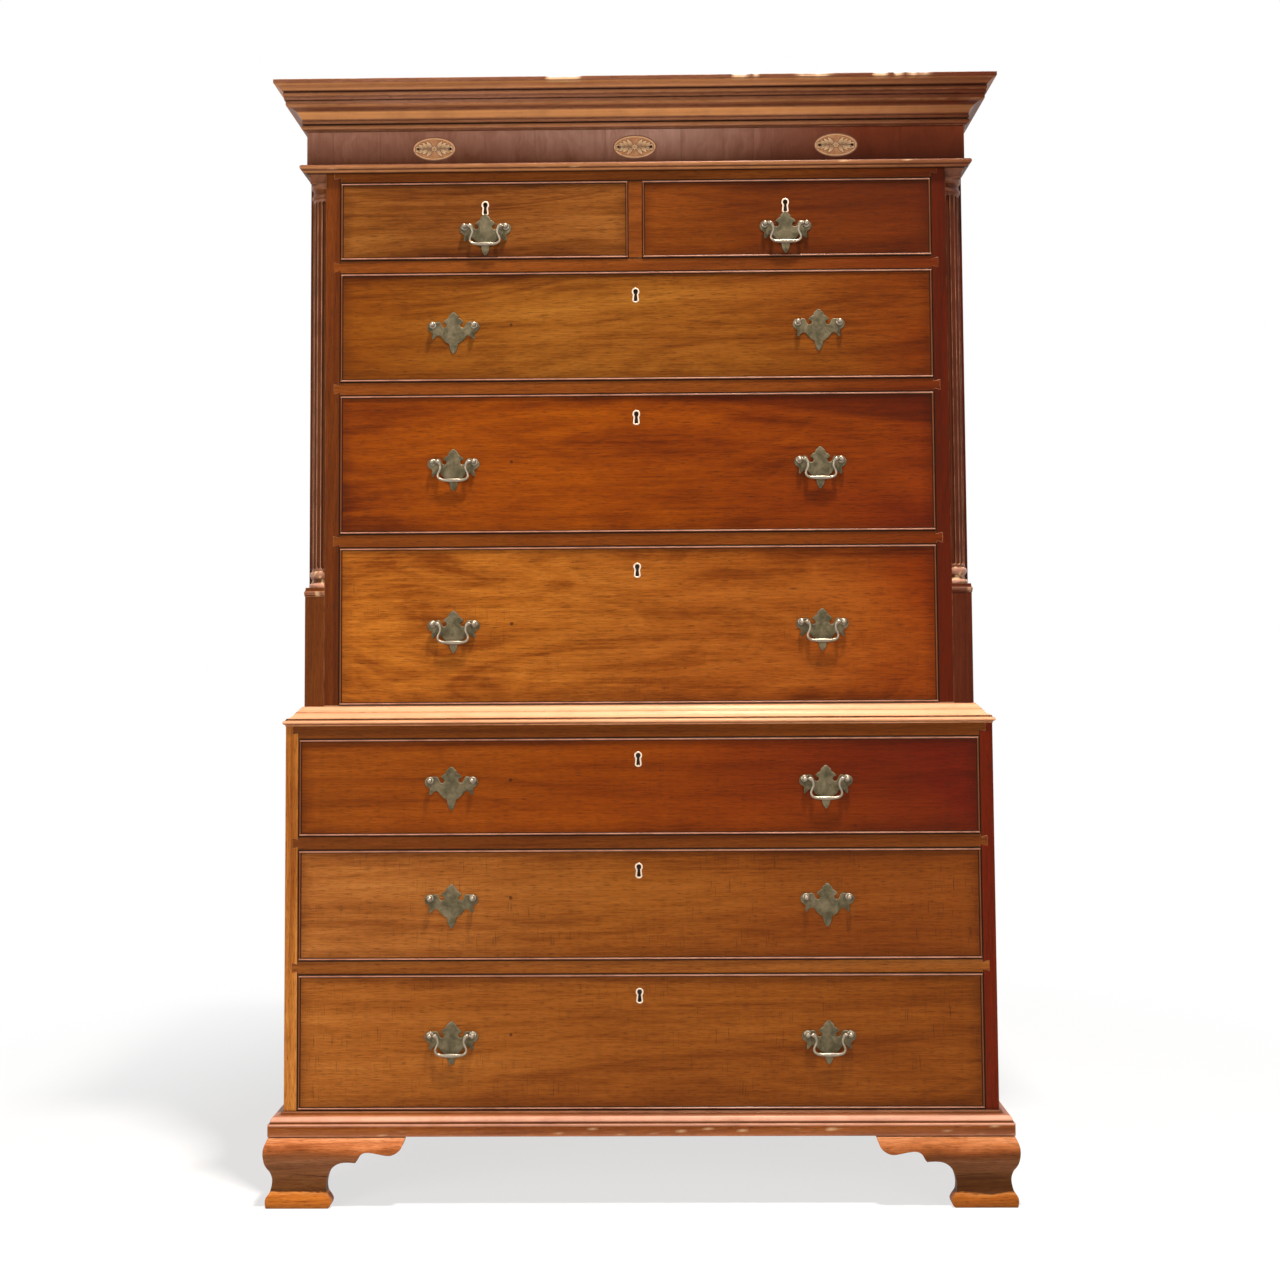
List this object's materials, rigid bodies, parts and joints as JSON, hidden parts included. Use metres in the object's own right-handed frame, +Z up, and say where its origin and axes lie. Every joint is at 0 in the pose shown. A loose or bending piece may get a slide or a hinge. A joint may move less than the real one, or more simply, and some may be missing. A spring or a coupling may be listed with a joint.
{
  "type": "chest on chest",
  "caption": "Mahogany chest on chest with fluted quarter columns, inlaid frieze, cock-beaded drawers, pierced-outline brass handles and ogee bracket feet.",
  "frame": {"origin": "middle of the plan at floor level", "axes": "+Z up, drawers open towards -Y, +X to the viewer's right"},
  "size_m": [1.152, 0.571, 1.753],
  "materials": {
    "carcass_mahogany": "old polished mahogany",
    "drawer_mahogany": "old polished figured mahogany",
    "moulding_mahogany": "old polished mahogany",
    "frieze_veneer": "crossbanded veneer",
    "secondary_oak": "raw aged oak",
    "inlay_boxwood": "shaded boxwood inlay",
    "brass": "aged brass",
    "iron": "worn iron"
  },
  "bodies": {
    "case": {"lower_sides": "carcass_mahogany", "lower_boards": "secondary_oak", "lower_rails": "carcass_mahogany", "lower_runners": "secondary_oak", "lower_back": "secondary_oak", "base_moulding": "moulding_mahogany", "front_feet": "moulding_mahogany", "rear_feet": "moulding_mahogany", "foot_blocks": "secondary_oak", "waist_moulding": "moulding_mahogany", "upper_sides": "carcass_mahogany", "upper_boards": "secondary_oak", "upper_rails": "carcass_mahogany", "upper_runners": "secondary_oak", "upper_back": "secondary_oak", "corner_columns": "moulding_mahogany", "frieze": "frieze_veneer", "cornice": "moulding_mahogany", "frieze_inlays": "inlay_boxwood"},
    "drawer_short_left": {"drawer_short_left_front": "drawer_mahogany", "drawer_short_left_box": "secondary_oak", "drawer_short_left_brass": "brass"},
    "bolt_short_left": {"drawer_short_left_bolt": "iron"},
    "bail_short_left_0": {"bail_short_left_0": "brass"},
    "drawer_short_right": {"drawer_short_right_front": "drawer_mahogany", "drawer_short_right_box": "secondary_oak", "drawer_short_right_brass": "brass"},
    "bolt_short_right": {"drawer_short_right_bolt": "iron"},
    "bail_short_right_0": {"bail_short_right_0": "brass"},
    "drawer_upper_a": {"drawer_upper_a_front": "drawer_mahogany", "drawer_upper_a_box": "secondary_oak", "drawer_upper_a_brass": "brass"},
    "bolt_upper_a": {"drawer_upper_a_bolt": "iron"},
    "drawer_upper_b": {"drawer_upper_b_front": "drawer_mahogany", "drawer_upper_b_box": "secondary_oak", "drawer_upper_b_brass": "brass"},
    "bolt_upper_b": {"drawer_upper_b_bolt": "iron"},
    "bail_upper_b_0": {"bail_upper_b_0": "brass"},
    "bail_upper_b_1": {"bail_upper_b_1": "brass"},
    "drawer_upper_c": {"drawer_upper_c_front": "drawer_mahogany", "drawer_upper_c_box": "secondary_oak", "drawer_upper_c_brass": "brass"},
    "bolt_upper_c": {"drawer_upper_c_bolt": "iron"},
    "bail_upper_c_0": {"bail_upper_c_0": "brass"},
    "bail_upper_c_1": {"bail_upper_c_1": "brass"},
    "drawer_lower_a": {"drawer_lower_a_front": "drawer_mahogany", "drawer_lower_a_box": "secondary_oak", "drawer_lower_a_brass": "brass"},
    "bolt_lower_a": {"drawer_lower_a_bolt": "iron"},
    "bail_lower_a_1": {"bail_lower_a_1": "brass"},
    "drawer_lower_b": {"drawer_lower_b_front": "drawer_mahogany", "drawer_lower_b_box": "secondary_oak", "drawer_lower_b_brass": "brass"},
    "bolt_lower_b": {"drawer_lower_b_bolt": "iron"},
    "drawer_lower_c": {"drawer_lower_c_front": "drawer_mahogany", "drawer_lower_c_box": "secondary_oak", "drawer_lower_c_brass": "brass"},
    "bolt_lower_c": {"drawer_lower_c_bolt": "iron"},
    "bail_lower_c_0": {"bail_lower_c_0": "brass"},
    "bail_lower_c_1": {"bail_lower_c_1": "brass"}
  },
  "joints": [
    {"name": "drawer_short_left_slide", "type": "slide", "parent": "case", "child": "drawer_short_left", "axis": [0, -1, 0], "range_m": [0, 0.4]},
    {"name": "bolt_short_left_throw", "type": "slide", "parent": "drawer_short_left", "child": "bolt_short_left", "axis": [0, 0, 1], "range_m": [0, 0.008]},
    {"name": "bail_short_left_0_swing", "type": "hinge", "parent": "drawer_short_left", "child": "bail_short_left_0", "pos_m": [-0.24, -0.2442, 1.52495], "axis": [-1, 0, 0], "range_deg": [0, 100]},
    {"name": "drawer_short_right_slide", "type": "slide", "parent": "case", "child": "drawer_short_right", "axis": [0, -1, 0], "range_m": [0, 0.4]},
    {"name": "bolt_short_right_throw", "type": "slide", "parent": "drawer_short_right", "child": "bolt_short_right", "axis": [0, 0, 1], "range_m": [0, 0.008]},
    {"name": "bail_short_right_0_swing", "type": "hinge", "parent": "drawer_short_right", "child": "bail_short_right_0", "pos_m": [0.24, -0.2442, 1.52495], "axis": [-1, 0, 0], "range_deg": [0, 100]},
    {"name": "drawer_upper_a_slide", "type": "slide", "parent": "case", "child": "drawer_upper_a", "axis": [0, -1, 0], "range_m": [0, 0.4]},
    {"name": "bolt_upper_a_throw", "type": "slide", "parent": "drawer_upper_a", "child": "bolt_upper_a", "axis": [0, 0, 1], "range_m": [0, 0.008]},
    {"name": "drawer_upper_b_slide", "type": "slide", "parent": "case", "child": "drawer_upper_b", "axis": [0, -1, 0], "range_m": [0, 0.4]},
    {"name": "bolt_upper_b_throw", "type": "slide", "parent": "drawer_upper_b", "child": "bolt_upper_b", "axis": [0, 0, 1], "range_m": [0, 0.008]},
    {"name": "bail_upper_b_0_swing", "type": "hinge", "parent": "drawer_upper_b", "child": "bail_upper_b_0", "pos_m": [-0.291, -0.2442, 1.14675], "axis": [-1, 0, 0], "range_deg": [0, 100]},
    {"name": "bail_upper_b_1_swing", "type": "hinge", "parent": "drawer_upper_b", "child": "bail_upper_b_1", "pos_m": [0.291, -0.2442, 1.14675], "axis": [-1, 0, 0], "range_deg": [0, 100]},
    {"name": "drawer_upper_c_slide", "type": "slide", "parent": "case", "child": "drawer_upper_c", "axis": [0, -1, 0], "range_m": [0, 0.4]},
    {"name": "bolt_upper_c_throw", "type": "slide", "parent": "drawer_upper_c", "child": "bolt_upper_c", "axis": [0, 0, 1], "range_m": [0, 0.008]},
    {"name": "bail_upper_c_0_swing", "type": "hinge", "parent": "drawer_upper_c", "child": "bail_upper_c_0", "pos_m": [-0.291, -0.2442, 0.89], "axis": [-1, 0, 0], "range_deg": [0, 100]},
    {"name": "bail_upper_c_1_swing", "type": "hinge", "parent": "drawer_upper_c", "child": "bail_upper_c_1", "pos_m": [0.291, -0.2442, 0.89], "axis": [-1, 0, 0], "range_deg": [0, 100]},
    {"name": "drawer_lower_a_slide", "type": "slide", "parent": "case", "child": "drawer_lower_a", "axis": [0, -1, 0], "range_m": [0, 0.4]},
    {"name": "bolt_lower_a_throw", "type": "slide", "parent": "drawer_lower_a", "child": "bolt_lower_a", "axis": [0, 0, 1], "range_m": [0, 0.008]},
    {"name": "bail_lower_a_1_swing", "type": "hinge", "parent": "drawer_lower_a", "child": "bail_lower_a_1", "pos_m": [0.291, -0.2675, 0.64615], "axis": [-1, 0, 0], "range_deg": [0, 100]},
    {"name": "drawer_lower_b_slide", "type": "slide", "parent": "case", "child": "drawer_lower_b", "axis": [0, -1, 0], "range_m": [0, 0.4]},
    {"name": "bolt_lower_b_throw", "type": "slide", "parent": "drawer_lower_b", "child": "bolt_lower_b", "axis": [0, 0, 1], "range_m": [0, 0.008]},
    {"name": "drawer_lower_c_slide", "type": "slide", "parent": "case", "child": "drawer_lower_c", "axis": [0, -1, 0], "range_m": [0, 0.4]},
    {"name": "bolt_lower_c_throw", "type": "slide", "parent": "drawer_lower_c", "child": "bolt_lower_c", "axis": [0, 0, 1], "range_m": [0, 0.008]},
    {"name": "bail_lower_c_0_swing", "type": "hinge", "parent": "drawer_lower_c", "child": "bail_lower_c_0", "pos_m": [-0.291, -0.2675, 0.2551], "axis": [-1, 0, 0], "range_deg": [0, 100]},
    {"name": "bail_lower_c_1_swing", "type": "hinge", "parent": "drawer_lower_c", "child": "bail_lower_c_1", "pos_m": [0.291, -0.2675, 0.2551], "axis": [-1, 0, 0], "range_deg": [0, 100]}
  ]
}
